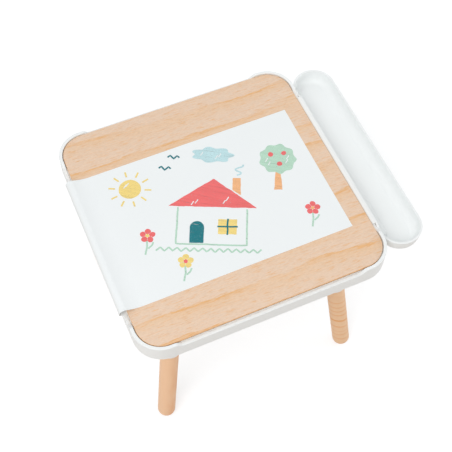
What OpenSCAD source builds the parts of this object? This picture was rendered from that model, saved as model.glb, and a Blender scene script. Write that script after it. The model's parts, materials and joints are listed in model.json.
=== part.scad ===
// A low children's drawing table. A square plywood top lies loose in a white
// moulded rim and covers a storage bin and a paper roll. The paper leaves
// over the dipped left rim and turns back over the top. A pen tray hooks over
// the right rim, and four splayed wooden legs stand in white sleeves.

/* [Tabletop] */
// Side of the square plywood top
top_w = 498.5; // [420:0.5:620]
// Radius of the top's corners
top_corner_r = 49.25; // [35:0.25:60]
// Thickness of the top
top_t = 5.5; // [5:0.5:9]
// Height of the top's upper face above the floor
table_h = 427; // [390:1:520]
// How far the loose top lies to the right of the middle of its recess
top_slip_x = 0.25; // [-0.5:0.25:0.5]
// How far the loose top lies behind the middle of its recess
top_slip_y = 1; // [-1:0.25:1]

/* [Rim] */
// Gap between the edge of the top and the rim, with the top in the middle
rim_gap = 1.75; // [1.25:0.25:2.5]
// Thickness of the rim's wall
rim_t = 6.5; // [5.5:0.5:10]
// How far the rim's corners rise above the upper face of the top
rim_rise = 3; // [1:0.5:4]
// Height of the rim at its corners
rim_h = 43.5; // [40:0.5:47]
// Gap between a dip in the rim and the underside of the top
dip_gap = 0.9; // [0.9:0.1:2]
// Length of the level part of each dip
dip_len = 355; // [330:1:360]
// Length of the slope at each end of a dip
dip_run = 17; // [10:1:18]
// Width of the ledge inside the rim that carries the deck
ledge_w = 12; // [11:0.5:14]
// Thickness of that ledge
ledge_t = 3; // [2.5:0.5:4]

/* [Deck] */
// Depth of the deck's upper face below the upper face of the top
deck_drop = 24; // [22:0.5:26]
// Thickness of the deck
deck_t = 6; // [5:0.5:7]
// Clearance between the deck and the rim
deck_gap = 0.3; // [0.2:0.1:0.6]
// Thickness of the wall that stands on the deck's edge
deck_wall_t = 3; // [2:0.1:3.5]
// Width of the rests that carry the top
rest_w = 10; // [8:0.5:14]
// Length of the straight rests at the front, rear and right
rest_len = 230; // [160:5:240]

/* [Storage bin] */
// Outer width of the bin, left to right
bin_w = 264; // [254:2:266]
// Outer length of the bin, front to rear
bin_l = 390; // [386:2:396]
// Depth of the bin's underside below the upper face of the top
bin_drop = 165; // [120:5:190]
// Wall of the bin
bin_t = 2.5; // [2:0.25:3.5]
// Width of the flange around the bin's mouth
bin_flange_w = 10; // [9:0.5:11]
// Radius of the bin's upright corners
bin_corner_r = 17; // [16:1:28]
// Radius around the bin's floor
bin_floor_r = 14; // [8:1:15]

/* [Legs] */
// Diameter of a leg
leg_d = 38; // [34:0.5:40]
// Distance of a leg's bolt from the edge of the bin's flange
leg_side = 23.9; // [22:0.1:30]
// Splay of a leg seen from the front and from the side, in degrees
leg_splay = 7.25; // [6.5:0.05:8]
// Wall of the white sleeve around a leg
sleeve_t = 1.9; // [1.5:0.1:2.5]
// Clearance between a leg and its sleeve
sleeve_gap = 0.1; // [0.05:0.05:0.3]
// Depth of a sleeve's lower end below the upper face of the top
sleeve_drop = 180; // [120:5:220]
// Radius of the flange on a sleeve
sleeve_flange_r = 30; // [28:0.5:31]
// Thickness of that flange
sleeve_flange_t = 3.5; // [3:0.5:4]

/* [Pen tray] */
// Outer width of the tray
tray_w = 90; // [70:1:120]
// Outer length of the tray
tray_l = 462; // [400:2:520]
// Depth of the tray's rim below the upper face of the top
tray_drop = 10; // [9:0.5:14]
// Height of the tray, rim to underside
tray_h = 32; // [28:1:50]
// Wall of the tray at its rim
tray_t = 4.5; // [3.5:0.25:6]
// How far the tray's sides lean in
tray_lean = 3.5; // [1:0.5:6]
// Thickness of the tray's floor
tray_floor_t = 3; // [2:0.5:4]
// Radius around the tray's floor, inside
tray_floor_r = 16; // [10:1:18]
// Gap between the tray and the rim
tray_gap = 0.5; // [0.3:0.1:1]
// Length of the hook over the rim
hook_len = 336; // [280:2:340]
// Length of the slope at each end of the tray's raised wall
hook_run = 13; // [8:1:16]
// Thickness of the hook
hook_t = 2.3; // [2:0.1:3]
// How far the hook's lip reaches down
hook_lip = 5; // [3:0.5:8]
// Thickness of the hook's lip
hook_lip_t = 2; // [1.5:0.1:2.5]
// Length of the step on the tray's floor
step_len = 84; // [50:1:120]
// Width of that step
step_w = 18; // [12:0.5:22]
// Radius of that step's corners
step_r = 4; // [2:0.5:5]
// Height of that step above the tray's underside
step_h = 9; // [6:0.5:14]

/* [Paper] */
// Width of the paper
paper_w = 305; // [200:1:312]
// Thickness that stands for the paper
paper_t = 0.3; // [0.2:0.05:0.3]
// Outer radius of the roll of paper
roll_r = 28; // [20:0.5:29]
// Distance of the sheet's free edge from the right edge of the top
sheet_inset = 36.75; // [20:0.25:120]
// Distance that the sheet lies in front of the middle
sheet_shift = 6.5; // [0:0.5:8]
// Radius of the arch where the paper comes over the edge
arch_r = 10.7; // [9:0.1:12]
// Distance of the arch's highest point outside the edge of the top
arch_out = 5.05; // [4:0.05:6]
// Angle at which the arch comes down to the top, in degrees
arch_angle = 28; // [25:1:36]
// Radius of the turn where the paper leaves the rim
turn_r = 5; // [4:0.1:6]

/* [Roll holder] */
// Radius of the wooden spindle
spindle_r = 7; // [5:0.5:8]
// Running clearance of the hubs on the spindle
spindle_gap = 0.05; // [0.02:0.01:0.1]
// Inner radius of the cardboard core
core_r = 13; // [12:0.5:14]
// Wall of the core
core_t = 2; // [1.5:0.25:3]
// Radius of a hub's flange
hub_flange_r = 20; // [17:0.5:20]
// Thickness of a hub's flange
hub_t = 3; // [2:0.5:4]
// Length of a hub's plug
hub_plug_l = 15; // [8:1:25]
// Play of the roll along the spindle at each end
hub_play = 4; // [2:0.5:6]
// Distance of the roll's axis from the bin's left wall
roll_side = 32; // [31:0.5:36]
// Depth of the roll's axis below the upper face of the top
roll_drop = 50; // [50:0.5:60]
// Width of a cradle
cradle_w = 34; // [26:1:40]
// Height of a cradle below the roll's axis
cradle_h = 20; // [14:1:30]
// Height of a cradle's cheeks above the spindle
cradle_cheek_h = 5; // [2:0.5:8]
// Length of a cradle's screw inside the cradle
cradle_screw_l = 12; // [8:1:16]
// Distance between a cradle's two screws
cradle_screw_step = 16; // [12:1:20]

/* [Screws] */
// Radius of a wood screw's shank
screw_r = 1.75; // [1.5:0.05:2]
// Radius of a wood screw's head
screw_head_r = 3.5; // [3:0.1:4]
// Height of a wood screw's head
screw_head_h = 2; // [1.5:0.1:2.2]
// Radius of a leg bolt
bolt_r = 4; // [3:0.25:4.5]
// Length of a leg bolt under its head
bolt_l = 48; // [40:1:60]
// Height of a leg bolt's hexagonal head
bolt_head_h = 5.3; // [4:0.1:6]
// Radius of a leg bolt's washer
washer_r = 11; // [9:0.5:12]
// Thickness of that washer
washer_t = 1.6; // [1:0.1:2]
// Outer radius of the threaded insert in a leg
insert_r = 6; // [5.5:0.25:7]
// Length of that insert
insert_l = 25; // [15:1:30]

/* [Hidden] */
$fn = 96;

white = [0.93, 0.94, 0.93];
plywood = [0.91, 0.78, 0.66];
beech = [0.88, 0.73, 0.58];
paper_white = [0.94, 0.95, 0.95];
card = [0.72, 0.60, 0.45];
steel = [0.75, 0.76, 0.78];
brass = [0.80, 0.66, 0.38];

eps = 0.01;
fit = 0.05;
seat = 0.3;
far = 1000;

top_half = top_w / 2;
rim_in = top_half + rim_gap;
rim_out = rim_in + rim_t;
rim_in_r = top_corner_r + rim_gap;
rim_out_r = rim_in_r + rim_t;
rim_low = rim_rise - rim_h;
dip_z = -top_t - dip_gap;
deck_top = -deck_drop;
deck_low = deck_top - deck_t;
deck_half = rim_in - deck_gap;
deck_r = rim_in_r - deck_gap;
deck_wall_h = dip_z - fit - deck_top;
rest_h = deck_drop - top_t;
rest_t = rest_w / 2;
rest_x = (bin_l / 2 + bin_flange_w + deck_half - rest_t) / 2;

leg_r = leg_d / 2;
foot_z = leg_r - table_h;
leg_tilt = atan(sqrt(2) * tan(leg_splay));
sleeve_bore_r = leg_r + sleeve_gap;
sleeve_r = sleeve_bore_r + sleeve_t;
sleeve_low = deck_low - sleeve_flange_t;
leg_top = sleeve_low - fit;
bolt_xy = bin_w / 2 + bin_flange_w + leg_side;
foot_xy = bolt_xy + (leg_top - foot_z) * tan(leg_splay);
sleeve_screw_ring = (sleeve_flange_r - screw_head_r - 1.5) / sqrt(2);

bin_x = bin_w / 2;
bin_y = bin_l / 2;
bin_top = deck_top + bin_t;
bin_screw_x = bin_x + bin_flange_w / 2;
bin_screw_step = (paper_w - 5) / 2;

tray_x = rim_out + tray_gap + tray_w / 2;
tray_r = tray_w / 2;
tray_y = tray_l / 2 - tray_r;
tray_low = -tray_drop - tray_h;
hook_z = dip_z + seat;
hook_top = hook_z + hook_t;
hook_x = rim_in + seat;
hook_wall_x = rim_out + tray_gap;
groove_x = hook_x + hook_lip_t + seat;

roll_x = -bin_x + bin_t + roll_side;
roll_z = -roll_drop;
paper_y = paper_w / 2;
core_out_r = core_r + core_t;
hub_gap = 0.3;
cradle_in_y = paper_y + sheet_shift + hub_gap + hub_t + hub_play;
cradle_out_y = bin_y - bin_t - seat;
spindle_y = (cradle_in_y + cradle_out_y) / 2;
cradle_gap = 0.1;
cradle_screw_z = roll_z - cradle_h / 2 - 2;

// The paper's middle line: a straight run from the roll to the slot between
// the rim and the top, a turn, an arch, and a curve down onto the top
slot_z = -top_t - dip_gap / 2;
arch_x = -top_half - arch_out;
turn_x = arch_x - arch_r + turn_r;
arch_z = slot_z + turn_r;
arch_end_x = arch_x + arch_r * sin(arch_angle);
arch_end_z = arch_z + arch_r * cos(arch_angle);
blend_r = (arch_end_z - paper_t / 2) / (1 - cos(arch_angle));
blend_x = arch_end_x + blend_r * sin(arch_angle);
sheet_end = top_half - sheet_inset;
split_x = -rim_in;
split_angle = asin((split_x - arch_x) / arch_r);
wrap_r = roll_r + seat + paper_t / 2;
slot_x = -rim_in + 1;
slot_reach = norm([slot_x - roll_x, slot_z - roll_z]);
web_angle = atan2(slot_z - roll_z, roll_x - slot_x) - asin(wrap_r / slot_reach);

table_left = arch_x - arch_r - paper_t / 2;
table_right = tray_x + tray_r;
mid_x = (table_left + table_right) / 2;

// Puts what is drawn about the middle of the tabletop's upper face into place
module at_table() {
    translate([-mid_x, 0, table_h]) children();
}

// Square with rounded corners, about the origin
module rounded(hx, hy, r) {
    square([2 * hx, 2 * (hy - r)], center = true);
    square([2 * (hx - r), 2 * hy], center = true);
    for (sx = [-1, 1], sy = [-1, 1])
        translate([sx * (hx - r), sy * (hy - r)]) circle(r = r);
}

// Level stretch with an S-shaped slope at each end, from height 0 down to depth
function s_profile(half, run, depth, steps = 12) = concat(
    [for (i = [0 : steps]) [-half - run + run * i / steps, -depth * (1 - cos(180 * i / steps)) / 2]],
    [for (i = [0 : steps]) [half + run * i / steps, -depth * (1 + cos(180 * i / steps)) / 2]]
);

// Cuts one dip into the rim on the +X side
module dip_cut() {
    outline = concat(s_profile(dip_len / 2, dip_run, rim_rise - dip_z),
                     [[far, 0], [far, far], [-far, far], [-far, 0]]);
    translate([rim_in - eps - 2, 0, rim_rise]) rotate([90, 0, 90])
        linear_extrude(rim_t + 4) polygon(outline);
}

// Wood screw, its head's underside at height 0
module screw(length) {
    cylinder(r = screw_head_r, h = screw_head_h, $fn = 32);
    translate([0, 0, -length]) cylinder(r = screw_r, h = length + eps, $fn = 24);
}

// Hole downwards from height 0, open above
module hole(r, depth) {
    translate([0, 0, -depth]) cylinder(r = r, h = depth + 10, $fn = 32);
}

// Places of the screws: along the rim, around the bin, and around a leg
deck_screw_at = deck_half - deck_wall_t - screw_head_r - 0.2;
deck_screw_step = (rest_len / 2 + top_half - top_corner_r) / 2;
deck_screws_xy = [for (s = [-1, 1], t = [-1, 1]) each [
    [s * deck_screw_at, t * deck_screw_step], [t * deck_screw_step, s * deck_screw_at]
]];
bin_screws_xy = [for (s = [-1, 1], t = [-1, 0, 1]) [s * bin_screw_x, t * bin_screw_step]];
sleeve_screws_xy = [for (sx = [-1, 1], sy = [-1, 1], tx = [-1, 1], ty = [-1, 1])
    [sx * bolt_xy + tx * sleeve_screw_ring, sy * bolt_xy + ty * sleeve_screw_ring]];
corners = [for (sx = [-1, 1], sy = [-1, 1]) [sx, sy]];

module rim_frame() {
    color(white) at_table() difference() {
        union() {
            translate([0, 0, rim_low]) linear_extrude(rim_h) difference() {
                rounded(rim_out, rim_out, rim_out_r);
                rounded(rim_in, rim_in, rim_in_r);
            }
            translate([0, 0, deck_low - ledge_t]) linear_extrude(ledge_t) difference() {
                rounded(rim_in + 1, rim_in + 1, rim_in_r + 1);
                rounded(rim_in - ledge_w, rim_in - ledge_w, rim_in_r - ledge_w);
            }
        }
        for (a = [0, 90, 180, 270]) rotate([0, 0, a]) dip_cut();
        translate([rim_in - 2, -hook_len / 2 - seat, hook_z - hook_lip - seat])
            cube([groove_x - rim_in + 2, hook_len + 2 * seat, hook_lip + 10]);
        for (p = deck_screws_xy) translate([p.x, p.y, deck_low]) hole(screw_r + fit, ledge_t + 10);
    }
}

// Rests for the top: one in each corner, and straight ones on three sides
module deck_rests() {
    translate([0, 0, deck_top - eps]) linear_extrude(rest_h + eps) {
        intersection() {
            difference() {
                rounded(deck_half, deck_half, deck_r);
                rounded(deck_half - rest_w, deck_half - rest_w, deck_r - rest_w);
            }
            for (c = corners) translate([c.x * top_half, c.y * top_half])
                square(2 * top_corner_r, center = true);
        }
    }
    for (a = [0, 90, 270]) rotate([0, 0, a])
        translate([rest_x, -rest_len / 2, deck_top - eps])
            cube([rest_t, rest_len, rest_h + eps]);
}

module deck_panel() {
    color(white) at_table() difference() {
        union() {
            translate([0, 0, deck_low]) linear_extrude(deck_t) difference() {
                rounded(deck_half, deck_half, deck_r);
                rounded(bin_x + seat, bin_y + seat, bin_corner_r + seat);
            }
            translate([0, 0, deck_top - eps]) linear_extrude(deck_wall_h + eps) difference() {
                rounded(deck_half, deck_half, deck_r);
                rounded(deck_half - deck_wall_t, deck_half - deck_wall_t, deck_r - deck_wall_t);
            }
            deck_rests();
        }
        for (p = deck_screws_xy) translate([p.x, p.y, deck_top]) hole(screw_r + fit, deck_t + 1);
        for (p = bin_screws_xy) translate([p.x, p.y, deck_top]) hole(screw_r + fit, deck_t + 1);
        for (p = sleeve_screws_xy) translate([p.x, p.y, deck_top]) hole(screw_r + fit, deck_t + 1);
        for (c = corners) translate([c.x * bolt_xy, c.y * bolt_xy, deck_top])
            hole(bolt_r + fit, deck_t + 1);
    }
}

module deck_screws() {
    color(steel) at_table() for (p = deck_screws_xy)
        translate([p.x, p.y, deck_top]) screw(deck_t + ledge_t);
}

// Half of a bowl's section: a wall that leans in and a round-edged floor
function bowl_section(r, lean, floor_r, low, high, steps = 10) = concat(
    [[0, high], [0, low]],
    [for (i = [0 : steps]) let (a = -90 + (90 - atan(lean / (high - low))) * i / steps)
        [r - lean - floor_r + floor_r * cos(a), low + floor_r + floor_r * sin(a)]],
    [[r, high]]
);

// Both halves of a section, drawn along Y
module trough(section, length) {
    for (a = [0, 180]) rotate([90, 0, a]) linear_extrude(length, center = true) polygon(section);
}

// Closed bin shape with round corners and a round-edged floor
module bin_shape(hx, hy, r, floor_r, low, high) {
    for (c = corners) translate([c.x * (hx - r), c.y * (hy - r), 0])
        rotate_extrude() polygon(bowl_section(r, 0, floor_r, low, high));
    trough(bowl_section(hx, 0, floor_r, low, high), 2 * (hy - r));
    rotate([0, 0, 90]) trough(bowl_section(hy, 0, floor_r, low, high), 2 * (hx - r));
}

// Deep bin that hangs in the deck by its flange
module storage_bin() {
    color(white) at_table() difference() {
        union() {
            bin_shape(bin_x, bin_y, bin_corner_r, bin_floor_r, -bin_drop, bin_top);
            translate([0, 0, deck_top]) linear_extrude(bin_t)
                rounded(bin_x + bin_flange_w, bin_y + bin_flange_w, bin_corner_r + bin_flange_w);
        }
        bin_shape(bin_x - bin_t, bin_y - bin_t, bin_corner_r - bin_t, bin_floor_r - bin_t,
                  -bin_drop + bin_t, bin_top + 2);
        for (p = bin_screws_xy) translate([p.x, p.y, bin_top]) hole(screw_r + fit, bin_t + 1);
        for (s = [-1, 1], t = [-1, 1])
            translate([roll_x + t * cradle_screw_step / 2, s * bin_y, cradle_screw_z])
                rotate([-s * 90, 0, 0]) hole(screw_r + fit, bin_t + 1);
    }
}

module bin_screws() {
    color(steel) at_table() for (p = bin_screws_xy)
        translate([p.x, p.y, bin_top]) screw(bin_t + deck_t);
}

module tabletop() {
    color(plywood) at_table() translate([top_slip_x, top_slip_y, -top_t])
        linear_extrude(top_t) rounded(top_half, top_half, top_corner_r);
}

// Puts a leg's own axis, +Z up from the centre of its foot, in corner c
module along_leg(c) {
    translate([c.x * foot_xy, c.y * foot_xy, foot_z])
        rotate([0, 0, atan2(c.y, c.x)]) rotate([0, -leg_tilt, 0]) children();
}

// Round leg, cut level at the top, with a ball end on the floor
module leg(c) {
    color(beech) at_table() difference() {
        along_leg(c) union() {
            sphere(r = leg_r);
            cylinder(r = leg_r, h = table_h);
        }
        translate([0, 0, leg_top]) linear_extrude(table_h) square(far, center = true);
        translate([c.x * bolt_xy, c.y * bolt_xy, leg_top]) {
            hole(insert_r + fit, insert_l + fit);
            hole(bolt_r + fit, bolt_l);
        }
    }
}

module leg_front_left() leg([-1, -1]);
module leg_front_right() leg([1, -1]);
module leg_rear_left() leg([-1, 1]);
module leg_rear_right() leg([1, 1]);

// Sleeve around a leg's upper part, with a closed flange under the deck
module sleeve(c) {
    sleeve_from = (-sleeve_drop - foot_z) / cos(leg_tilt);
    color(white) at_table() difference() {
        union() {
            translate([c.x * bolt_xy, c.y * bolt_xy, sleeve_low])
                cylinder(r = sleeve_flange_r, h = sleeve_flange_t);
            difference() {
                along_leg(c) translate([0, 0, sleeve_from]) cylinder(r = sleeve_r, h = table_h);
                translate([0, 0, sleeve_low + 1]) linear_extrude(table_h) square(far, center = true);
            }
        }
        difference() {
            along_leg(c) cylinder(r = sleeve_bore_r, h = table_h);
            translate([0, 0, sleeve_low]) linear_extrude(table_h) square(far, center = true);
        }
        translate([c.x * bolt_xy, c.y * bolt_xy, deck_low]) {
            hole(bolt_r + fit, sleeve_flange_t + 1);
            for (tx = [-1, 1], ty = [-1, 1])
                translate([tx * sleeve_screw_ring, ty * sleeve_screw_ring, 0])
                    hole(screw_r + fit, sleeve_flange_t + 1);
        }
    }
}

module sleeve_front_left() sleeve([-1, -1]);
module sleeve_front_right() sleeve([1, -1]);
module sleeve_rear_left() sleeve([-1, 1]);
module sleeve_rear_right() sleeve([1, 1]);

module sleeve_screws() {
    color(steel) at_table() for (p = sleeve_screws_xy)
        translate([p.x, p.y, deck_top]) screw(deck_t + sleeve_flange_t);
}

module leg_bolts() {
    color(steel) at_table() for (c = corners)
        translate([c.x * bolt_xy, c.y * bolt_xy, deck_top + washer_t]) {
            cylinder(r = 1.85 * bolt_r, h = bolt_head_h, $fn = 6);
            translate([0, 0, -bolt_l]) cylinder(r = bolt_r, h = bolt_l + eps);
        }
}

module leg_washers() {
    color(steel) at_table() for (c = corners)
        translate([c.x * bolt_xy, c.y * bolt_xy, deck_top]) difference() {
            cylinder(r = washer_r, h = washer_t);
            translate([0, 0, -1]) cylinder(r = bolt_r + fit, h = washer_t + 2);
        }
}

module leg_inserts() {
    color(brass) at_table() for (c = corners)
        translate([c.x * bolt_xy, c.y * bolt_xy, leg_top - insert_l]) difference() {
            cylinder(r = insert_r, h = insert_l);
            translate([0, 0, -1]) cylinder(r = bolt_r + fit, h = insert_l + 2);
        }
}

// Stadium-shaped bowl with round ends
module bowl(section) {
    for (s = [-1, 1]) translate([0, s * tray_y, 0]) rotate_extrude() polygon(section);
    trough(section, 2 * tray_y);
}

// Raised part of the tray's wall, with the hook and its lip
module tray_hook() {
    raised = [for (p = s_profile(hook_len / 2, hook_run, hook_top + tray_drop)) [p.x, -p.y]];
    translate([hook_wall_x, 0, -tray_drop]) rotate([90, 0, 90])
        linear_extrude(tray_t) polygon(raised);
    translate([hook_x, -hook_len / 2, hook_z])
        cube([hook_wall_x - hook_x + eps, hook_len, hook_t]);
    translate([hook_x, -hook_len / 2, hook_z - hook_lip])
        cube([hook_lip_t, hook_len, hook_lip + eps]);
}

// Long step on the tray's floor, beside the wall next to the rim
module tray_step() {
    translate([-tray_r + tray_t + step_w / 2, -tray_y + step_len / 2, 0])
        linear_extrude(step_h) rounded(step_w / 2, step_len / 2, step_r);
}

module pen_tray() {
    outer = bowl_section(tray_r, tray_lean, tray_floor_r - tray_floor_t, 0, tray_h);
    inner = bowl_section(tray_r - tray_t, tray_lean, tray_floor_r, tray_floor_t, tray_h + 2);
    color(white) at_table() {
        translate([tray_x, 0, tray_low]) difference() {
            bowl(outer);
            difference() {
                bowl(inner);
                tray_step();
            }
        }
        tray_hook();
    }
}

// Block with an open notch that holds one end of the spindle, shaped to the bin's corner
module cradle(s) {
    depth = cradle_out_y - cradle_in_y;
    notch = spindle_y + cradle_gap - cradle_in_y;
    wall_gap = bin_t + seat;
    color(white) at_table() translate([roll_x, 0, roll_z]) mirror([0, s < 0 ? 1 : 0, 0])
        difference() {
            intersection() {
                translate([-cradle_w / 2, cradle_in_y, -cradle_h])
                    cube([cradle_w, depth, cradle_h + spindle_r + cradle_cheek_h]);
                translate([-roll_x, 0, -cradle_h - 1]) linear_extrude(far)
                    rounded(bin_x - wall_gap, bin_y - wall_gap, bin_corner_r - wall_gap);
            }
            translate([0, cradle_in_y - 1, 0]) rotate([-90, 0, 0])
                cylinder(r = spindle_r + cradle_gap, h = notch + 1);
            translate([-spindle_r - cradle_gap, cradle_in_y - 1, 0])
                cube([2 * (spindle_r + cradle_gap), notch + 1, far]);
            for (t = [-1, 1])
                translate([t * cradle_screw_step / 2, cradle_out_y + seat, cradle_screw_z - roll_z])
                    rotate([-90, 0, 0]) hole(screw_r + fit, cradle_screw_l + 1);
        }
}

module roll_cradle_front() cradle(-1);
module roll_cradle_rear() cradle(1);

module cradle_screws() {
    color(steel) at_table() for (s = [-1, 1], t = [-1, 1])
        translate([roll_x + t * cradle_screw_step / 2, s * bin_y, cradle_screw_z])
            rotate([-s * 90, 0, 0]) screw(bin_t + cradle_screw_l);
}

// Puts what is drawn about +Z on the roll's axis, with its middle at y
module on_roll(y) {
    translate([roll_x, y, roll_z]) rotate([-90, 0, 0]) children();
}

module tube(r_out, r_in, length) {
    difference() {
        cylinder(r = r_out, h = length, center = true);
        cylinder(r = r_in, h = length + 2, center = true);
    }
}

module roll_spindle() {
    color(beech) at_table() on_roll(0) cylinder(r = spindle_r, h = 2 * spindle_y, center = true);
}

// Flanged plug that carries one end of the core on the spindle
module hub(s) {
    plug_y = paper_y + hub_gap - hub_plug_l / 2;
    color(white) at_table() difference() {
        union() {
            on_roll(s * (paper_y + hub_gap + hub_t / 2) - sheet_shift)
                cylinder(r = hub_flange_r, h = hub_t, center = true);
            on_roll(s * plug_y - sheet_shift)
                cylinder(r = core_r - 2 * fit, h = hub_plug_l + 2 * eps, center = true);
        }
        on_roll(0) cylinder(r = spindle_r + spindle_gap, h = 3 * paper_w, center = true);
    }
}

module roll_hub_front() hub(-1);
module roll_hub_rear() hub(1);

module roll_core() {
    color(card) at_table() on_roll(-sheet_shift) tube(core_out_r, core_r, paper_w);
}

module paper_roll() {
    color(paper_white) at_table() on_roll(-sheet_shift) tube(roll_r, core_out_r + fit, paper_w);
}

// Points on an arc of the paper, for its thickness side k of -0.5 or 0.5
function arc_side(cx, cz, r, from, to, k, steps, first = 0) =
    [for (i = [first : steps]) let (a = from + (to - from) * i / steps)
        [cx + (r + k * paper_t) * cos(a), cz + (r + k * paper_t) * sin(a)]];

// The paper's outline from the roll, out over the rim and up to the split
function web_side(k) = concat(
    [[roll_x + (wrap_r + k * paper_t) * sin(web_angle), roll_z + (wrap_r + k * paper_t) * cos(web_angle)],
     [slot_x, slot_z + k * paper_t]],
    arc_side(turn_x, arch_z, turn_r, 270, 180, -k, 8),
    arc_side(arch_x, arch_z, arch_r, 180, 90 - split_angle, -k, 24, 1)
);

// The outline from the split, down onto the top and along to the free edge
function sheet_side(k) = concat(
    arc_side(arch_x, arch_z, arch_r, 90 - split_angle, 90 - arch_angle, -k, 8),
    arc_side(blend_x, blend_r + paper_t / 2, blend_r, 270 - arch_angle, 270, k, 10, 1),
    [[sheet_end, paper_t / 2 - k * paper_t]]
);

module paper_strip(side_a, side_b) {
    reversed = [for (i = [len(side_b) - 1 : -1 : 0]) side_b[i]];
    translate([0, paper_y - sheet_shift, 0]) rotate([90, 0, 0])
        linear_extrude(paper_w) polygon(concat(side_a, reversed));
}

module paper_web() {
    color(paper_white) at_table() paper_strip(web_side(0.5), web_side(-0.5));
}

module drawing_sheet() {
    color(paper_white) at_table() paper_strip(sheet_side(0.5), sheet_side(-0.5));
}

rim_frame();
deck_panel();
deck_screws();
storage_bin();
bin_screws();
tabletop();
leg_front_left();
leg_front_right();
leg_rear_left();
leg_rear_right();
sleeve_front_left();
sleeve_front_right();
sleeve_rear_left();
sleeve_rear_right();
sleeve_screws();
leg_bolts();
leg_washers();
leg_inserts();
pen_tray();
roll_cradle_front();
roll_cradle_rear();
cradle_screws();
roll_spindle();
roll_hub_front();
roll_hub_rear();
roll_core();
paper_roll();
paper_web();
drawing_sheet();
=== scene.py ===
import json
import math
import bpy
import bmesh
import numpy as np
from mathutils import Matrix, Vector

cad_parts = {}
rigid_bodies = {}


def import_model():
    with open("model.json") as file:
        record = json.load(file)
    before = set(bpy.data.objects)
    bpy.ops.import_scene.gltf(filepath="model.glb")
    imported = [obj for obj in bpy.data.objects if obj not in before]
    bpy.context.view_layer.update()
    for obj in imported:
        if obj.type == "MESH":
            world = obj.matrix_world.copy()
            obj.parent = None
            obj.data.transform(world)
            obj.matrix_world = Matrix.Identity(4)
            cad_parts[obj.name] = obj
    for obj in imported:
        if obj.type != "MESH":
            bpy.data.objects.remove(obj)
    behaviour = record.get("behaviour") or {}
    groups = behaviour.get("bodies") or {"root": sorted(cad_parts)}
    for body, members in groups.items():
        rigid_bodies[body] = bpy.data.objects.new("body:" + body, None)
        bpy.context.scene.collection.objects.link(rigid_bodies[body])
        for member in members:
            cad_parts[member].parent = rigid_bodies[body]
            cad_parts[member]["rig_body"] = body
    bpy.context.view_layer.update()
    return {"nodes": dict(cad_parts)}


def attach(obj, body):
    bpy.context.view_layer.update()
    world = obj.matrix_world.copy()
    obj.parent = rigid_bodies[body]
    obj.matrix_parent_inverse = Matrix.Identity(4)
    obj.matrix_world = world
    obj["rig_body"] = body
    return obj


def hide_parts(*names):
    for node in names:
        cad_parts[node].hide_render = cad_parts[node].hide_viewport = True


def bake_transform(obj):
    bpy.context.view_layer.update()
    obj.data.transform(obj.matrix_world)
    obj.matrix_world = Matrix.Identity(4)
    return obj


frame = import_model()
scene = bpy.context.scene
scene.view_settings.view_transform = "Standard"

# ============================================================== the studio
# A pale floor under soft light. The camera looks down on the front left
# corner from nearly two metres up, as a product photograph does.

TILT_DOWN, TURNED, ROLLED = 1.03769769, -0.432083089, 0.0237896852
CAMERA_PLACE, FOCAL_PIXELS, PICTURE_WIDTH, FLOOR_HALF = (-0.425185, -0.870030, 1.932990), 909.8916, 452, 9


def new_object(name, data):
    """An object with that data, in the scene."""
    thing = bpy.data.objects.new(name, data)
    scene.collection.objects.link(thing)
    return thing


def area_lamp(name, place, aim, size, power, colour):
    """A round lamp at its place that shines at its aim; the camera doesn't see it."""
    lamp = new_object(name, bpy.data.lights.new(name, "AREA"))
    lamp.data.shape = "DISK"
    lamp.data.size, lamp.data.energy, lamp.data.color = size, power, colour
    lamp.location = place
    lamp.rotation_euler = (Vector(aim) - Vector(place)).to_track_quat("-Z", "Y").to_euler()
    lamp.visible_camera = False


def feed(tree, socket, value):
    """Sets an input, or links it to a socket, a node's first output, or each of a list of these."""
    for source in value if isinstance(value, list) else [value]:
        if isinstance(source, bpy.types.Node):
            source = source.outputs[0]
        if isinstance(source, bpy.types.NodeSocket):
            tree.links.new(source, socket)
        else:
            socket.default_value = source


def add(tree, kind, inputs=None, **settings):
    """A node of that kind with its settings and its inputs."""
    node = tree.nodes.new(kind)
    for name, value in settings.items():
        setattr(node, name, value)
    for name, value in (inputs or {}).items():
        feed(tree, node.inputs[name], value)
    return node


def maths(tree, kind, one, two=0.0):
    return add(tree, "ShaderNodeMath", {0: one, 1: two}, operation=kind)


def times(tree, one, two):
    return maths(tree, "MULTIPLY", one, two)


def ranged(tree, source, low, high, to_low=0.0, to_high=1.0, curve="LINEAR"):
    """A number moved from one range into another, and held inside it."""
    return add(tree, "ShaderNodeMapRange", {"Value": source, "From Min": low, "From Max": high,
                                            "To Min": to_low, "To Max": to_high}, interpolation_type=curve)


def mixed(tree, share, one, two):
    """A colour between two."""
    return add(tree, "ShaderNodeMix", {0: share, 6: one, 7: two}, data_type="RGBA").outputs[2]


def length_of(tree, vector):
    return add(tree, "ShaderNodeVectorMath", {0: vector}, operation="LENGTH").outputs["Value"]


def object_place(tree):
    return add(tree, "ShaderNodeTexCoord").outputs["Object"]


def seen_by_camera(tree):
    """1 for what the camera sees, also mirrored or through glass, and 0 for light on other things."""
    rays = add(tree, "ShaderNodeLightPath").outputs
    seen = maths(tree, "MAXIMUM", rays["Is Camera Ray"], rays["Is Glossy Ray"])
    return maths(tree, "MAXIMUM", seen, rays["Is Transmission Ray"])


def new_material(name, **constants):
    """A material, its tree and its shader, with the shader's own constants."""
    material = bpy.data.materials.new(name)
    material.use_nodes = True
    shader = material.node_tree.nodes["Principled BSDF"]
    for socket, value in constants.items():
        shader.inputs[socket.replace("_", " ")].default_value = value
    return material, material.node_tree, shader


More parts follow.
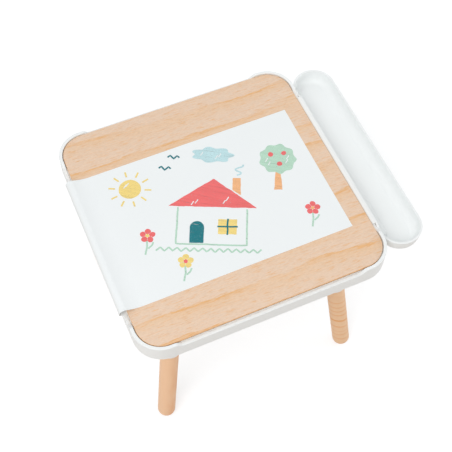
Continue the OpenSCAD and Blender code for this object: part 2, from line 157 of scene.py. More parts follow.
camera = new_object("camera", bpy.data.cameras.new("camera"))
camera.data.sensor_width = 36
camera.data.lens = FOCAL_PIXELS * camera.data.sensor_width / PICTURE_WIDTH
camera.matrix_world = (
    Matrix.Translation(CAMERA_PLACE)
    @ Matrix.Rotation(TURNED, 4, "Z")
    @ Matrix.Rotation(math.pi / 2 - TILT_DOWN, 4, "X")
    @ Matrix.Rotation(ROLLED, 4, "Z")
)
scene.camera = camera

area_lamp("window_lamp", (-2.10, -1.71, 3.52), (0, 0, 0.3), 2.66, 71, (1.0, 0.997, 0.992))
area_lamp("rear_lamp", (0.9, 1.9, 2.2), (0, 0, 0.4), 1.6, 8, (0.98, 0.99, 1.0))
area_lamp("side_lamp", (2.1, -0.5, 0.75), (0.1, 0, 0.25), 1.0, 8, (1.0, 0.995, 0.985))

world = bpy.data.worlds.new("studio")
world.use_nodes = True
scene.world = world
sky = world.node_tree
sky.nodes.clear()
level = ranged(sky, seen_by_camera(sky), 0, 1, 0.60, 1.0)
add(sky, "ShaderNodeOutputWorld", {
    "Surface": add(sky, "ShaderNodeBackground", {"Color": (1, 1, 1, 1), "Strength": level})})

floor_paint, tree, shader = new_material("floor_paint", Roughness=0.9, Specular_IOR_Level=0.0,
                                         Emission_Color=(0.98, 0.99, 1, 1))
seen = seen_by_camera(tree)
feed(tree, shader.inputs["Base Color"], mixed(tree, seen, (0.62, 0.537, 0.475, 1), (0.545, 0.55, 0.555, 1)))
# Far from the table the floor runs out into the white of the room
glow = ranged(tree, length_of(tree, object_place(tree)), 0.9, 4.0, 0.58, 1.0)
feed(tree, shader.inputs["Emission Strength"], times(tree, seen, glow))
# A camera below the floor looks through it
from_below = add(tree, "ShaderNodeNewGeometry").outputs["Backfacing"]
clear_share = times(tree, from_below, add(tree, "ShaderNodeLightPath").outputs["Is Camera Ray"])
clear = add(tree, "ShaderNodeBsdfTransparent")
surface = add(tree, "ShaderNodeMixShader", {0: clear_share, 1: shader, 2: clear})
feed(tree, tree.nodes["Material Output"].inputs["Surface"], surface)
ground = bpy.data.meshes.new("floor")
ground.from_pydata([(FLOOR_HALF * x, FLOOR_HALF * y, 0) for x, y in ((-1, -1), (1, -1), (1, 1), (-1, 1))],
                   [], [(0, 1, 2, 3)])
ground.materials.append(floor_paint)
new_object("floor", ground)

# ================================================================ the rim
# One white plastic moulding: a wall round the table with four raised
# corners, four shallow dips between them, and a ledge inside for the deck.

MIDDLE_X, TOP_HEIGHT = 41.425, 427.0
RIM_INSIDE, RIM_WALL, RIM_LOW, CORNER_RADIUS = 251.0, 6.5, -40.5, 51.0
DIP_HALF, DIP_RUN, DIP, RAISED = 177.5, 17.0, -6.4, 3.0
LEDGE_REACH, LEDGE_TOP, LEDGE_LOW = 12, -30, -33
GROOVE_HALF, GROOVE_DEEP, GROOVE_LOW = 168.35, 2.6, -11.4
both = (-1, 1)


def placed(x, y, z):
    """Millimetres from the middle of the tabletop's face, as metres on the floor."""
    return ((x - MIDDLE_X) / 1000, y / 1000, (z + TOP_HEIGHT) / 1000)


def outline(corners, steps=4, ease=0.4):
    """Closed outline through (x, z, radius) corners, with a point beside each arc."""
    points = []
    for i, (x, z, radius) in enumerate(corners):
        here = Vector((x, z))
        if not radius:
            points.append((x, z))
            continue
        back = (Vector(corners[i - 1][:2]) - here).normalized()
        on = (Vector(corners[(i + 1) % len(corners)][:2]) - here).normalized()
        half = back.angle(on) / 2
        reach = radius / math.tan(half)
        centre = here + (back + on).normalized() * (radius / math.sin(half))
        start, end = here + back * reach - centre, here + on * reach - centre
        sweep = math.atan2(start.x * end.y - start.y * end.x, start.dot(end))
        arc_points = [centre + Matrix.Rotation(sweep * k / steps, 2) @ start for k in range(steps + 1)]
        points += [tuple(p) for p in (here + back * (reach + ease), *arc_points, here + on * (reach + ease))]
    return points


def skin(rows, close_rows=True, close_points=True):
    """Points and faces between neighbouring rows of points."""
    n, m = len(rows), len(rows[0])
    faces = [(i * m + j, i * m + (j + 1) % m, (i + 1) % n * m + (j + 1) % m, (i + 1) % n * m + j)
             for i in range(n if close_rows else n - 1)
             for j in range(m if close_points else m - 1)]
    return [p for row in rows for p in row], faces


def capped(rows):
    """A skin along rows of points, with a face on each end."""
    points, faces = skin(rows, close_rows=False)
    m = len(rows[0])
    return points, faces + [tuple(range(m)), tuple(range(len(points) - m, len(points)))]


def settle(piece, body, nodes=()):
    """The piece rides on its body, if it has one, and stands for its solids, which are hidden."""
    if body:
        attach(piece, body)
    if nodes:
        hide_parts(*nodes)
    return piece


def build(name, shells, materials, body, nodes, sharp=30):
    """A piece from shells of points in millimetres, its doubles merged and its faces turned outwards.

    A second material covers the faces that look sideways.
    """
    work = bmesh.new()
    for points, faces in shells:
        part = bmesh.new()
        corners = [part.verts.new(placed(*p)) for p in points]
        for face in faces:
            part.faces.new([corners[i] for i in face])
        bmesh.ops.remove_doubles(part, verts=part.verts, dist=2e-6)
        bmesh.ops.dissolve_degenerate(part, edges=part.edges, dist=1e-6)
        bmesh.ops.recalc_face_normals(part, faces=part.faces)
        scratch = bpy.data.meshes.new("scratch")
        part.to_mesh(scratch)
        part.free()
        work.from_mesh(scratch)
        bpy.data.meshes.remove(scratch)
    mesh = bpy.data.meshes.new(name)
    work.to_mesh(mesh)
    work.free()
    for material in materials:
        mesh.materials.append(material)
    for polygon in mesh.polygons:
        polygon.use_smooth = len(polygon.vertices) < 9
        if len(materials) > 1 and abs(polygon.normal.z) <= 0.9:
            polygon.material_index = 1
    mesh.set_sharp_from_angle(angle=math.radians(sharp))
    return settle(new_object(name, mesh), body, nodes)


def srgb(r, g, b):
    """A colour from 0 to 255, as the shaders take it."""
    return tuple(((c / 255 + 0.055) / 1.055) ** 2.4 for c in (r, g, b)) + (1,)


def new_group(name, family, **inputs):
    """A group of nodes and its input sockets; a word in place of a first value is the input's type."""
    group = bpy.data.node_groups.new(name, family + "NodeTree")
    main = {"Shader": "Vector", "Geometry": "Geometry"}[family]
    for label, value in {main: main, **inputs}.items():
        if isinstance(value, str):
            kind = value
        else:
            kind = "Float" if isinstance(value, float) else {3: "Vector", 4: "Color"}[len(value)]
        socket = group.interface.new_socket(label.replace("_", " "), in_out="INPUT",
                                            socket_type="NodeSocket" + kind)
        if kind != value:
            socket.default_value = value
    return group, group.nodes.new("NodeGroupInput").outputs


def give_back(group, **results):
    """Ends a group with its named outputs, and returns it."""
    for label in results:
        kind = {"Colour": "Color", "Geometry": "Geometry"}.get(label, "Float")
        group.interface.new_socket(label, in_out="OUTPUT", socket_type="NodeSocket" + kind)
    end = group.nodes.new("NodeGroupOutput")
    for label, result in results.items():
        feed(group, end.inputs[label], result)
    return group


def noise(tree, vector, scale, detail=2.0, roughness=0.5, along=1.0):
    """Noise from 0 to 1; with along below 1 it is drawn out along X, as a grain."""
    if along != 1.0:
        vector = add(tree, "ShaderNodeVectorMath", {0: vector, 1: (along, 1.0, 1.0)}, operation="MULTIPLY")
    return add(tree, "ShaderNodeTexNoise", {"Vector": vector, "Scale": scale, "Detail": detail,
                                            "Roughness": roughness})


def swing(tree, source, amount):
    """A noise about 0 in place of 0.5, times the amount."""
    return times(tree, maths(tree, "SUBTRACT", source, 0.5), amount)


def toned(tree, colour, tone):
    """A colour times a number."""
    return add(tree, "ShaderNodeVectorMath", {0: colour, "Scale": tone}, operation="SCALE")


def covered(name, group, bump, reach, gloss=0.5, metallic=0.0, grain=False, move=(0, 0, 0), turn=(0, 0, 0),
            **inputs):
    """A material whose look comes from a group, over the object or along the piece's stored grain."""
    material, tree, shader = new_material(name, Specular_IOR_Level=gloss, Metallic=metallic)
    if grain:
        place = add(tree, "ShaderNodeAttribute", attribute_name="grain").outputs["Vector"]
    else:
        place = add(tree, "ShaderNodeMapping", {"Vector": object_place(tree), "Location": move,
                                                "Rotation": turn})
    look = add(tree, "ShaderNodeGroup", {"Vector": place}, node_tree=group)
    for label, value in inputs.items():
        look.inputs[label.replace("_", " ")].default_value = value
    for result, socket in (("Colour", "Base Color"), ("Roughness", "Roughness"), ("Alpha", "Alpha")):
        if result in look.outputs:
            feed(tree, shader.inputs[socket], look.outputs[result])
    feed(tree, shader.inputs["Normal"], add(tree, "ShaderNodeBump", {
        "Strength": bump, "Distance": reach, "Height": look.outputs["Height"]}))
    return material


# The groups' colours start grey, and each material gives its own
GREY = (0.5, 0.5, 0.5, 1)

# The faint orange-peel of a satin moulding, with a slow drift in its tone
t, given = new_group("moulded_skin", "Shader", Colour=GREY, Drift=0.03, Peel_Scale=900.0)
slow = noise(t, given["Vector"], 9.0)
tone = maths(t, "ADD", swing(t, slow, given["Drift"]), 1.0)
moulded_skin = give_back(t, Colour=toned(t, given["Colour"], tone),
                         Roughness=ranged(t, slow, 0, 1, 0.36, 0.48),
                         Height=noise(t, given["Vector"], given["Peel Scale"], 1.0))
white_plastic = covered("white_plastic", moulded_skin, 0.10, 0.001, gloss=0.42, Colour=srgb(241, 244, 244))


def dip_height(along, half=DIP_HALF, run=DIP_RUN, low=DIP, high=RAISED):
    """Height of an edge with a level dip and an S-shaped slope at each end."""
    share = min(max((abs(along) - half) / run, 0), 1)
    return high + (low - high) * (1 + math.cos(math.pi * share)) / 2


def stations(half, radius, stops, turns=20):
    """Points round a square with rounded corners: place, outward direction, side and way along it."""
    found = []
    for side in range(4):
        a = side * math.pi / 2
        c, s = math.cos(a), math.sin(a)
        for along in stops:
            found.append((half * c - along * s, half * s + along * c, c, s, side, along))
        x, y = (half - radius) * (c - s), (half - radius) * (s + c)
        for k in range(1, turns):
            b = a + k / turns * math.pi / 2
            found.append((x + radius * math.cos(b), y + radius * math.sin(b),
                          math.cos(b), math.sin(b), side, half))
    return found


slope = [DIP_HALF + DIP_RUN * k / 12 for k in range(13)]
groove_ends = (GROOVE_HALF - 0.05, GROOVE_HALF + 0.05)
side_stops = sorted({s * t for s in both for t in (0, 60, 120, 160, *groove_ends, 173, *slope, 197, 200)})
rows = []
for x, y, ox, oy, side, along in stations(RIM_INSIDE, CORNER_RADIUS, side_stops):
    top = dip_height(along)
    # The right side has a groove for the pen tray's hook
    groove = GROOVE_DEEP if side == 0 and abs(along) < GROOVE_HALF else 0.0
    section = outline([(RIM_WALL, RIM_LOW, 0.8), (RIM_WALL, top, 1.2), (groove, top, 0.4),
                       (groove, GROOVE_LOW, 0), (0, GROOVE_LOW - 0.1, 0), (0, LEDGE_TOP, 0.5),
                       (-LEDGE_REACH, LEDGE_TOP, 0.4), (-LEDGE_REACH, LEDGE_LOW, 0.4), (0, LEDGE_LOW, 0.6),
                       (0, RIM_LOW, 0.6)])
    rows.append([(x + o * ox, y + o * oy, z) for o, z in section])
build("rim", [skin(rows)], [white_plastic], "frame", ["rim_frame"])

# ===================================================== the deck and the bin
# A white moulded deck lies on the rim's ledge, with rests that carry the
# top. The deep bin hangs through it by a flange round its mouth.

inner_plastic = covered("inner_plastic", moulded_skin, 0.16, 0.001, gloss=0.42, Colour=srgb(238, 239, 238),
                        Drift=0.05)


def eased(node, material, width):
    """A copy of a solid's mesh, its flat faces merged and its edges eased by width millimetres."""
    mesh = frame["nodes"][node].data.copy()
    mesh.materials.clear()
    mesh.materials.append(material)
    work = bmesh.new()
    work.from_mesh(mesh)
    bmesh.ops.remove_doubles(work, verts=work.verts, dist=1e-6)
    bmesh.ops.dissolve_limit(work, angle_limit=math.radians(0.6), verts=work.verts, edges=work.edges)
    edges = [e for e in work.edges if len(e.link_faces) == 2 and e.calc_face_angle() > math.radians(35)]
    bmesh.ops.bevel(work, geom=edges, offset=width / 1000, segments=2, affect="EDGES", profile=0.5,
                    clamp_overlap=True)
    for face in work.faces:
        face.smooth = True
        face.material_index = 0
    work.to_mesh(mesh)
    work.free()
    mesh.set_sharp_from_angle(angle=math.radians(30))
    settle(new_object(node + "_eased", mesh), frame["nodes"][node]["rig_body"], [node])


eased("deck_panel", inner_plastic, 0.2)
eased("storage_bin", inner_plastic, 0.5)

# ============================================================== the screws
# Zinc-plated pan-head screws with a cross recess. They hold the deck to
# the rim, the bin and the sleeves to the deck, and the cradles to the bin.

t, given = new_group("metal_wear", "Shader", Colour=GREY, Stain=GREY, Stain_Scale=300.0, Brush_Scale=2500.0)
cloud = noise(t, given["Vector"], given["Stain Scale"], 3.0)
metal_wear = give_back(t, Colour=mixed(t, ranged(t, cloud, 0.45, 0.75), given["Colour"], given["Stain"]),
                       Roughness=ranged(t, cloud, 0, 1, 0.24, 0.46),
                       Height=noise(t, given["Vector"], given["Brush Scale"], 1.0))
zinc = covered("zinc_plate", metal_wear, 0.15, 0.001, metallic=1.0, Colour=srgb(196, 199, 204),
               Stain=srgb(150, 152, 156))


def lifted(tree, shape, height):
    up = add(tree, "ShaderNodeCombineXYZ", {"Z": height})
    return add(tree, "GeometryNodeTransform", {"Geometry": shape, "Translation": up})


def finished(tree, given, shape):
    """Ends a maker's tree with plain geometry in the given material."""
    real = add(tree, "GeometryNodeRealizeInstances", {"Geometry": shape})
    return give_back(tree, Geometry=add(tree, "GeometryNodeSetMaterial", {
        "Geometry": real, "Material": given["Material"]}))


# A screw at each point, turned by the point's "aim". Its head is a short band
# under a flatter cone, less two crossed bars.
t, given = new_group("screw_maker", "Geometry", Head_Radius=0.0035, Head_Height=0.002, Shank_Radius=0.00175,
                     Length=0.009, Recess=0.0042, Recess_Width=0.0008, Material="Material")
half_head, shoulder = times(t, given["Head Height"], 0.5), times(t, given["Head Radius"], 0.97)
band = add(t, "GeometryNodeMeshCone", {"Vertices": 28, "Radius Top": shoulder,
                                       "Radius Bottom": given["Head Radius"], "Depth": half_head})
dome = add(t, "GeometryNodeMeshCone", {"Vertices": 28, "Radius Top": times(t, given["Head Radius"], 0.68),
                                       "Radius Bottom": shoulder, "Depth": half_head})
head = add(t, "GeometryNodeJoinGeometry", {0: [lifted(t, dome, half_head), band]})
head = add(t, "GeometryNodeMergeByDistance", {"Geometry": head, "Distance": 1e-6})
bars = []
for x, y in (("Recess", "Recess Width"), ("Recess Width", "Recess")):
    size = add(t, "ShaderNodeCombineXYZ", {"X": given[x], "Y": given[y], "Z": given["Head Height"]})
    bar = add(t, "GeometryNodeMeshCube", {"Size": size})
    bars.append(lifted(t, bar, times(t, given["Head Height"], 0.95)))
cut = add(t, "GeometryNodeMeshBoolean", {"Mesh 1": head, "Mesh 2": bars}, operation="DIFFERENCE")
shank = add(t, "GeometryNodeMeshCylinder", {"Vertices": 16, "Radius": given["Shank Radius"],
                                            "Depth": given["Length"]})
whole = add(t, "GeometryNodeJoinGeometry", {0: [cut, lifted(t, shank, times(t, given["Length"], -0.5))]})
aim = add(t, "GeometryNodeInputNamedAttribute", {"Name": "aim"}, data_type="FLOAT_VECTOR")
screw_maker = finished(t, given, add(t, "GeometryNodeInstanceOnPoints", {
    "Points": given["Geometry"], "Instance": whole,
    "Rotation": add(t, "FunctionNodeEulerToRotation", {0: aim})}))


def store(mesh, name, vectors):
    """Stores a vector on each point of a mesh."""
    attribute = mesh.attributes.new(name, "FLOAT_VECTOR", "POINT")
    attribute.data.foreach_set("vector", [c for vector in vectors for c in vector])


def made(name, maker, points, edges=(), aims=None, **inputs):
    """Runs a maker's tree on points and lines, and returns the plain mesh that it makes as an object."""
    start = bpy.data.meshes.new("start")
    start.from_pydata(points, edges, [])
    if aims:
        store(start, "aim", aims)
    source = new_object("start", start)
    modifier = source.modifiers.new("maker", "NODES")
    modifier.node_group = maker
    for item in maker.interface.items_tree:
        if item.in_out == "INPUT" and item.name in inputs:
            modifier[item.identifier] = inputs[item.name]
    bpy.context.view_layer.update()
    seen = source.evaluated_get(bpy.context.evaluated_depsgraph_get())
    mesh = bpy.data.meshes.new_from_object(seen)
    mesh.name = name
    mesh.shade_smooth()
    mesh.set_sharp_from_angle(angle=math.radians(30))
    bpy.data.objects.remove(source)
    return new_object(name, mesh)


DECK_TOP, DECK_SCREWS_OUT, DECK_SCREWS_APART = -24, 244, 157.5
BIN_TOP, BIN_SCREWS_OUT, BIN_SCREWS_APART = -21.5, 137, 150
ROLL_X, ROLL_Z, BIN_END, CRADLE_SCREWS_Z, CRADLE_SCREWS_APART = -97.5, -50.0, 195, -62, 8
# The sleeves' screws stand with their heads 1.5 mm inside the edge of the flange
BOLT_XY, FLANGE_RADIUS, SCREW_HEAD = 165.9, 30.0, 3.5
FLANGE_RING = (FLANGE_RADIUS - SCREW_HEAD - 1.5) / math.sqrt(2)
# Each row's length of screw, and its screws' places
SCREWS = {
    "deck_screws": (9.0, [(x, y, DECK_TOP) for out in (-DECK_SCREWS_OUT, DECK_SCREWS_OUT)
                          for apart in (-DECK_SCREWS_APART, DECK_SCREWS_APART)
                          for x, y in ((out, apart), (apart, out))]),
    "bin_screws": (8.5, [(s * BIN_SCREWS_OUT, step * BIN_SCREWS_APART, BIN_TOP) for s in both
                         for step in (-1, 0, 1)]),
    "sleeve_screws": (9.5, [(sx * BOLT_XY + tx * FLANGE_RING, sy * BOLT_XY + ty * FLANGE_RING, DECK_TOP)
                            for sx in both for sy in both for tx in both for ty in both]),
    "cradle_screws": (14.5, [(ROLL_X + step * CRADLE_SCREWS_APART, s * BIN_END, CRADLE_SCREWS_Z)
                             for s in both for step in both]),
}
for node, (length, points) in SCREWS.items():
    aims = [(0, 0, 0.7 * i * i % 1.57) for i in range(len(points))]
    if node == "cradle_screws":
        # They lie flat, with their heads outwards
        aims = [(-math.copysign(math.pi / 2, y), 0, 0) for x, y, z in points]
    screws = made(node + "_pan_head", screw_maker, [placed(*p) for p in points], aims=aims,
                  Length=length / 1000, Material=zinc)
    settle(screws, "frame", [node])

# ============================================================ the tabletop
# A loose board of thin plywood with a pale veneer, clear matt lacquer and
# bare edges that show its plies. It lies on the deck's rests in the rim.


def eased_range(tree, source, low, high, to_low=0.0, to_high=1.0):
    return ranged(tree, source, low, high, to_low, to_high, "SMOOTHSTEP")


# Figured wood that runs along X. The rings rise slowly from pale to warm and end
# in a thin ragged line; short dashes, speckle and fibres lie over them
t, given = new_group("wood_figure", "Shader", Pale=GREY, Warm=GREY, Line=GREY, Dark=GREY, Rings=17.0,
                     Wander=2.4, Line_Share=0.8, Speckle=0.04, Speckle_Scale=300.0)
where = given["Vector"]
across = add(t, "ShaderNodeSeparateXYZ", {"Vector": where}).outputs["Y"]
sway = swing(t, noise(t, where, 5.0, along=0.35), given["Wander"])
ragged = swing(t, noise(t, where, 170.0, 3.0, 0.7, along=0.12), 0.30)
phase = maths(t, "ADD", times(t, across, given["Rings"]), maths(t, "ADD", sway, ragged))
tooth = maths(t, "FRACT", phase)
patchy = noise(t, where, 24.0, 2.0, 0.6, along=0.16)
warmth = times(t, eased_range(t, tooth, 0.25, 1.0), eased_range(t, patchy, 0.30, 0.62, 0.35, 1.0))
colour = mixed(t, warmth, given["Pale"], given["Warm"])
line = times(t, eased_range(t, tooth, 0.86, 0.95), eased_range(t, tooth, 0.97, 1.0, 1.0, 0.3))
line = times(t, line, times(t, eased_range(t, patchy, 0.44, 0.62), given["Line Share"]))
breaks = noise(t, where, 260.0, 3.0, 0.7, along=0.16)
line = times(t, line, eased_range(t, breaks, 0.42, 0.56, 0.30, 1.35))
colour = mixed(t, line, colour, given["Line"])
dashes = noise(t, where, 480.0, 3.0, 0.65, along=0.08)
colour = mixed(t, eased_range(t, dashes, 0.52, 0.66, 0.0, 0.75), colour, given["Line"])
fibres = noise(t, where, given["Speckle Scale"], 3.0, 0.75, along=0.42)
tone = ranged(t, fibres, 0.3, 0.7, maths(t, "SUBTRACT", 1.0, given["Speckle"]),
              maths(t, "ADD", 1.0, given["Speckle"]))
pores = ranged(t, noise(t, where, 900.0, 1.0, along=0.06), 0.62, 0.76, 0.0, 0.40)
wood_figure = give_back(t, Colour=mixed(t, pores, toned(t, colour, tone), given["Dark"]),
                        Roughness=ranged(t, fibres, 0, 1, 0.46, 0.60),
                        Height=maths(t, "SUBTRACT", fibres, pores))

veneer = covered("veneer", wood_figure, 0.18, 0.0006, gloss=0.35, move=(0.31, 0.13, 0), turn=(0, 0, 0.012),
                 Speckle=0.06, Speckle_Scale=420.0, Pale=srgb(232, 205, 181), Warm=srgb(232, 197, 162),
                 Line=srgb(230, 178, 122), Dark=srgb(220, 152, 88))

# The loose board lies a little to the rear and to the right in its recess
BOARD, BOARD_RADIUS, BOARD_THICK, BOARD_EDGE, BOARD_SLIP = 249.25, 49.25, 5.5, 0.8, (0.25, 1.0)

# The board's edge: five plies, light along the grain and darker across it
plies = covered("ply_edge", wood_figure, 0.3, 0.0005, gloss=0.3, Pale=srgb(244, 200, 154),
                Warm=srgb(238, 188, 138), Line=srgb(236, 178, 122), Dark=srgb(190, 130, 85))
tree = plies.node_tree
base = tree.nodes["Principled BSDF"].inputs["Base Color"]
up = add(tree, "ShaderNodeSeparateXYZ", {"Vector": object_place(tree)}).outputs["Z"]
pair = maths(tree, "FRACT", ranged(tree, up, (TOP_HEIGHT - BOARD_THICK) / 1000, TOP_HEIGHT / 1000, 0.0, 2.5))
darker = times(tree, maths(tree, "GREATER_THAN", pair, 0.5), 0.55)
feed(tree, base, mixed(tree, darker, base.links[0].from_socket, srgb(206, 148, 98)))

eased_edge = [(BOARD_EDGE * (1 - math.sin(a)), BOARD_EDGE * (1 - math.cos(a)))
              for a in (0, 0.5, 1.05, math.pi / 2)]
rows = []
for inset, z in [(inset, rise - BOARD_THICK) for inset, rise in eased_edge] + \
        [(inset, -rise) for inset, rise in reversed(eased_edge)]:
    rows.append([(x - inset * ox + BOARD_SLIP[0], y - inset * oy + BOARD_SLIP[1], z)
                 for x, y, ox, oy, *_ in stations(BOARD, BOARD_RADIUS, range(-200, 201, 80), 24)])
build("board", [capped(rows)], [veneer, plies], "top", ["tabletop"])

# ================================================================ the legs
# Four turned legs of solid pale wood with ball ends, splayed along the
# diagonals. Each is cut level on top and bolted up against its sleeve.

FOOT_XY, LEG_RADIUS, SPLAY, LEG_TOP = 213.54, 19.0, 7.25, -33.55
FOOT_Z = LEG_RADIUS - TOP_HEIGHT
EAST, NORTH, UP = Vector((1, 0, 0)), Vector((0, 1, 0)), Vector((0, 0, 1))


def leg_frame(sx, sy):
    """Origin and three directions of a leg: two across and one up along it."""
    lean = math.tan(math.radians(SPLAY))
    up = Vector((-sx * lean, -sy * lean, 1)).normalized()
    out = Vector((sx, sy, 0)).normalized()
    across = up.cross(out).normalized()
    return Vector((sx * FOOT_XY, sy * FOOT_XY, FOOT_Z)), across.cross(up), across, up


def turned(axes, profile, around=64, cut=None):
    """Rows of points of a turned shape; cut levels the points of a row marked None at that height."""
    origin, one, two, axis = axes
    rows = []
    for k in range(around):
        a = 2 * math.pi * k / around
        row = []
        for radius, along in profile:
            p = origin + (one * math.cos(a) + two * math.sin(a)) * radius
            row.append(tuple(p + axis * ((cut - p.z) / axis.z if along is None else along)))
        rows.append(row)
    return rows


def give_grain(piece, axes, seed, share=1.0):
    """Stores each point's place along and across the piece, in metres, so that the grain follows it.

    A share below 1 draws the figure out across the piece.
    """
    origin, one, two, axis = axes
    spots = [vertex.co - Vector(placed(*origin)) for vertex in piece.data.vertices]
    store(piece.data, "grain", [(p.dot(axis) + seed, share * p.dot(one), share * p.dot(two)) for p in spots])


# Solid wood with growth rings: distance from a leaning heart line, bent by noise
t, given = new_group("ring_wood", "Shader", Pale=GREY, Ring=GREY, Dark=GREY, Rings=170.0,
                     Heart=(0, 0.02, 0.03), Lean=0.06, Bend=0.010, Ring_From=0.25)
where = given["Vector"]
apart = add(t, "ShaderNodeVectorMath", {0: where, 1: given["Heart"]}, operation="SUBTRACT")
axes = add(t, "ShaderNodeSeparateXYZ", {"Vector": apart}).outputs
leaned = maths(t, "SUBTRACT", axes["Y"], times(t, axes["X"], given["Lean"]))
away = length_of(t, add(t, "ShaderNodeCombineXYZ", {"Y": leaned, "Z": axes["Z"]}))
away = maths(t, "ADD", away, swing(t, noise(t, where, 26.0, along=0.25), given["Bend"]))
ring = maths(t, "FRACT", times(t, away, given["Rings"]))
ring = times(t, eased_range(t, ring, given["Ring From"], 0.92), eased_range(t, ring, 0.94, 1.0, 1.0, 0.0))
soft = noise(t, where, 60.0, along=0.3)
ring = times(t, ring, ranged(t, soft, 0.36, 0.66, 0.12, 1.0))
flecks = noise(t, where, 900.0, 1.0, along=0.05)
colour = mixed(t, ranged(t, flecks, 0.66, 0.78, 0.0, 0.35), mixed(t, ring, given["Pale"], given["Ring"]),
               given["Dark"])
ring_wood = give_back(t, Colour=colour, Roughness=ranged(t, soft, 0, 1, 0.42, 0.56),
                      Height=maths(t, "SUBTRACT", flecks, ring))


def solid_wood(name, bump=0.15, **inputs):
    return covered(name, ring_wood, bump, 0.0005, gloss=0.35, grain=True, **inputs)


# The front left leg's wood: one broad ring runs across the leg, from pale on one side to warm orange on the
# other, and its turn puts the darker side where the leg is in shade. This is painted shade, laid into the
# grain.
leg_wood_painted_shade = solid_wood("leg_wood_with_painted_shade", 0.08, Pale=srgb(247, 204, 165), Ring=srgb(240, 184, 138),
                        Dark=srgb(236, 186, 146), Rings=19.7, Heart=(0, -0.181, 0), Bend=0.004)
# This leg's rings cross it, as in a turning cut across a curved grain
ringed_wood = solid_wood("ringed_leg_wood", Pale=srgb(245, 204, 163), Ring=srgb(236, 168, 100),
                         Dark=srgb(238, 188, 140), Rings=714.0, Heart=(-0.4, 0, 0), Lean=0.063, Bend=0.0058,
                         Ring_From=0.62)
rear_wood = solid_wood("rear_leg_wood", Pale=srgb(245, 202, 161), Ring=srgb(238, 186, 138),
                       Dark=srgb(215, 165, 120), Rings=120.0)

# Each leg's corner and wood, how far the grain is turned about the leg (for the front left leg this places
# its painted shade), and its share across it
LEGS = [(-1, -1, "front_left", leg_wood_painted_shade, 2.1, 1.0), (1, -1, "front_right", ringed_wood, -1.57, 0.03),
        (-1, 1, "rear_left", rear_wood, 0.0, 1.0), (1, 1, "rear_right", rear_wood, 0.6, 1.0)]
ball = [(LEG_RADIUS * math.sin(a), -LEG_RADIUS * math.cos(a))
        for a in [k / 12 * math.pi / 2 for k in range(13)]]
leg_profile = ball + [(LEG_RADIUS, h) for h in (60, 120, 180, 240, 300, 350)] + \
    [(LEG_RADIUS, None), (LEG_RADIUS * 0.5, None), (0, None)]
for number, (sx, sy, corner, wood, turn, share) in enumerate(LEGS):
    origin, one, two, axis = leg_frame(sx, sy)
    leg_rows = turned((origin, one, two, axis), leg_profile, cut=LEG_TOP)
    leg = build("turned_leg_" + corner, [skin(leg_rows, close_points=False)], [wood], "frame",
                ["leg_" + corner], sharp=40)
    c, s = math.cos(turn), math.sin(turn)
    give_grain(leg, (origin, one * c + two * s, two * c - one * s, axis), 0.37 * number, share)

# ============================================================= the sleeves
# White plastic sleeves round the upper part of the legs. Each ends above
# in a flange that is screwed up against the deck.

SLEEVE_IN, SLEEVE_OUT, SLEEVE_LOW, FLANGE_LOW, DECK_LOW = 19.1, 21.0, -180.0, -33.5, -30.0
FLANGE_THICK = DECK_LOW - FLANGE_LOW
plate = [(0, 0), (FLANGE_RADIUS - 0.8, 0), (FLANGE_RADIUS - 0.2, 0.3), (FLANGE_RADIUS, 0.9),
         (FLANGE_RADIUS, FLANGE_THICK - 0.3), (FLANGE_RADIUS - 0.3, FLANGE_THICK), (0, FLANGE_THICK)]
for sx, sy, corner, *_ in LEGS:
    axes = leg_frame(sx, sy)
    low = (SLEEVE_LOW - FOOT_Z) / axes[3].z
    tube = [(SLEEVE_IN, None), (SLEEVE_IN, low + 0.5), (SLEEVE_IN + 0.2, low + 0.15), (SLEEVE_IN + 0.6, low),
            (SLEEVE_OUT - 0.9, low), (SLEEVE_OUT - 0.3, low + 0.3), (SLEEVE_OUT, low + 1.0),
            (SLEEVE_OUT, low + 40), (SLEEVE_OUT, low + 90), (SLEEVE_OUT, None)]
    plate_axes = (Vector((sx * BOLT_XY, sy * BOLT_XY, FLANGE_LOW)), EAST, NORTH, UP)
    shells = [skin(turned(axes, tube, cut=FLANGE_LOW + 0.4)),
              skin(turned(plate_axes, plate, 72), close_points=False)]
    build("leg_sleeve_" + corner, shells, [white_plastic], "frame", ["sleeve_" + corner])

# ============================================ the bolts, washers and inserts
# Zinc-plated hexagon bolts with washers on the deck, screwed into brass
# inserts in the legs' tops.

yellow_brass = covered("turned_brass", metal_wear, 0.15, 0.001, metallic=1.0, Colour=srgb(206, 172, 104),
                       Stain=srgb(170, 132, 74))
eased("leg_bolts", zinc, 0.35)
eased("leg_washers", zinc, 0.2)
eased("leg_inserts", yellow_brass, 0.2)

# ============================================================ the pen tray
# A white moulded tray with round ends and a round-edged floor. Its inner
# wall rises into a hook over the rim's dip, and its floor has a long step.

TRAY_X, TRAY_HALF, TRAY_Y, TRAY_RIM, TRAY_LOW = 303.0, 45.0, 186.0, -10.0, -42.0
TRAY_WALL, TRAY_FLOOR, HOOK_HALF, HOOK_RUN, HOOK_RISE = 4.5, -39.0, 168.0, 13.0, 6.2
HOOK_IN, HOOK_FOOT, HOOK_UNDER, HOOK_TOP, HOOK_TIP = 251.3, -11.1, -6.1, -3.8, 260.0
STEP_LEFT, STEP_MIDDLE, STEP_FAR, STEP_NEAR, STEP_ROUND = 268.3, 276.5, -102, -186, 4

hook_slope = [HOOK_HALF + HOOK_RUN * k / 10 for k in range(11)]
hook_side = sorted({s * t for s in both for t in (0, 60, 120, 160, *hook_slope, TRAY_Y)}, reverse=True)
